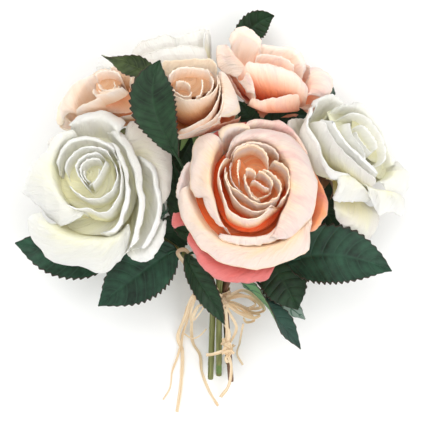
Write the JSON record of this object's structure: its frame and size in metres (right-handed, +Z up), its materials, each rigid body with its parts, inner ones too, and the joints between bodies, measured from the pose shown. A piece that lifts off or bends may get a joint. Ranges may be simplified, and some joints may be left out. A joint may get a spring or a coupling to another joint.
{
  "type": "bunch of roses",
  "caption": "Hand-tied bunch of roses in white, peach and blush with toothed leaves, cut stems and a raffia bow, lying on its back.",
  "frame": {"origin": "centre of the footprint of the bunch without its loose raffia tails, on the surface it lies on", "axes": "+Z up from the surface, -Y along the cut stems, +X to the right as seen from above with the blooms away from the viewer"},
  "size_m": [0.261, 0.2716, 0.1139],
  "materials": {
    "petals_blush": "soft woven petals, coral in the depths, cream at the rims",
    "petals_white": "soft woven petals, white with a green-yellow tint at the heart",
    "petals_peach": "soft woven petals, peach with pale rims",
    "petals_apricot": "soft woven petals, apricot with cream rims",
    "leaf": "satin dark green with red-brown tooth edges",
    "olive_stem": "moulded olive stem",
    "green_stem": "moulded green stem",
    "brown_stem": "moulded red-brown stem",
    "raffia": "dry straw strips"
  },
  "bodies": {
    "root": {"bloom_blush_front": "petals_blush", "stem_blush_front": "brown_stem", "bloom_white_left": "petals_white", "stem_white_left": "olive_stem", "bloom_white_right": "petals_white", "stem_white_right": "brown_stem", "bloom_peach_top": "petals_peach", "stem_peach_top": "olive_stem", "bloom_peach_middle": "petals_apricot", "stem_peach_middle": "green_stem", "bloom_peach_left": "petals_apricot", "stem_peach_left": "olive_stem", "bloom_white_back": "petals_white", "stem_white_back": "olive_stem", "leaf_front_high": "leaf", "leaf_top": "leaf", "leaf_right_high": "leaf", "leaf_between_right": "leaf", "leaf_between_left": "leaf", "leaf_centre_left": "leaf", "leaf_left_low": "leaf", "leaf_left_front": "leaf", "leaf_centre_twisted": "leaf", "leaf_right_large": "leaf", "leaf_right_dark": "leaf", "leaf_right_narrow": "leaf", "leaf_right_under": "leaf", "leaf_back_right": "leaf", "leaf_back_left": "leaf", "leaf_back_high": "leaf", "raffia_bow": "raffia", "raffia_tail_left_long": "raffia", "raffia_tail_left_inner": "raffia", "raffia_tail_left_thin": "raffia", "raffia_tail_centre": "raffia", "raffia_tail_right_thin": "raffia"}
  },
  "joints": []
}
